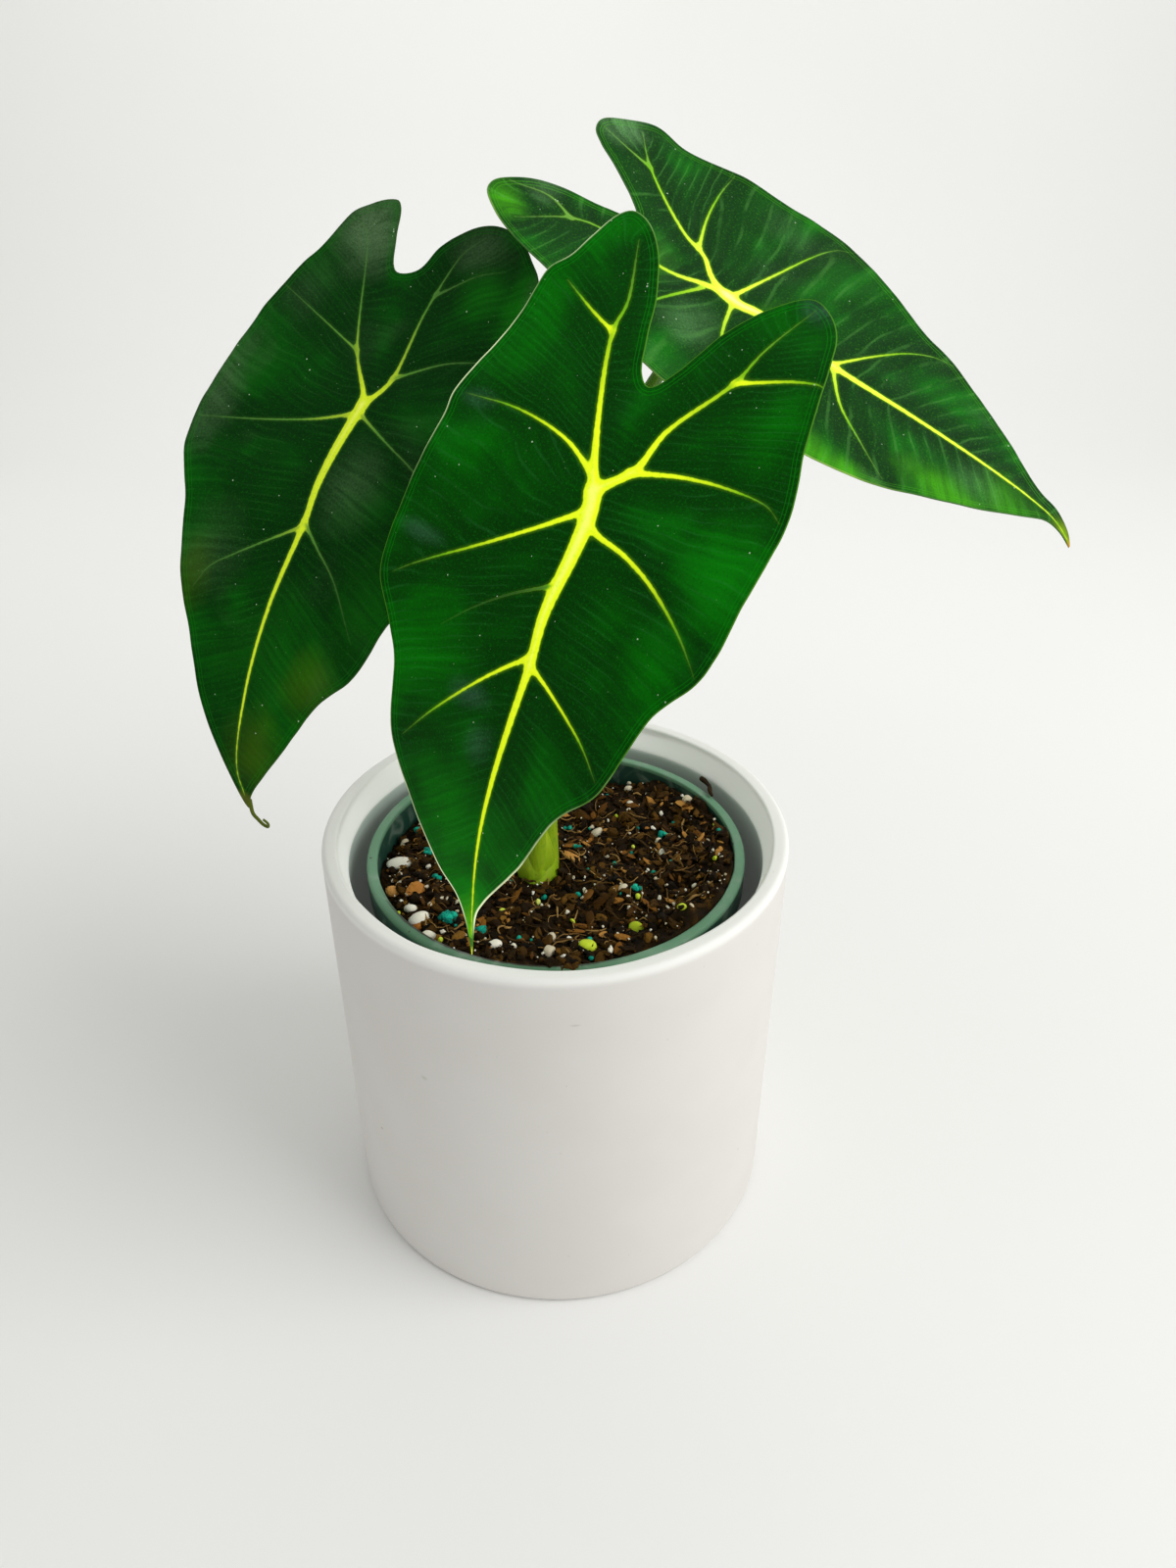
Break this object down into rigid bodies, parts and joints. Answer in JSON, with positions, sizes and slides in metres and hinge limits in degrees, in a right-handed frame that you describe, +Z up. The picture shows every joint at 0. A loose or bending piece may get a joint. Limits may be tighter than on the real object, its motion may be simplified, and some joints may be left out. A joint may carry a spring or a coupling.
{
  "type": "potted frydek alocasia",
  "caption": "Arrow-leaved house plant with pale veins and wavy blades on slim petioles, in a green nursery pot inside a straight white ceramic cachepot.",
  "frame": {"origin": "centre of the cachepot's flat foot, on the surface it stands on", "axes": "+Z up along the cachepot's axis; the front leaf hangs towards -Y and the viewer, the back leaf points towards +X"},
  "size_m": [0.1973, 0.1456, 0.2886],
  "materials": {
    "cachepot": "satin",
    "nursery_pot": "satin",
    "potting_mix": "matte",
    "petiole": "satin",
    "leaf": "satin"
  },
  "bodies": {
    "root": {"cachepot": "cachepot", "nursery_pot": "nursery_pot", "potting_mix": "potting_mix", "petiole_front": "petiole", "petiole_left": "petiole", "petiole_back": "petiole", "leaf_front": "leaf", "leaf_left": "leaf", "leaf_back": "leaf"}
  },
  "joints": []
}
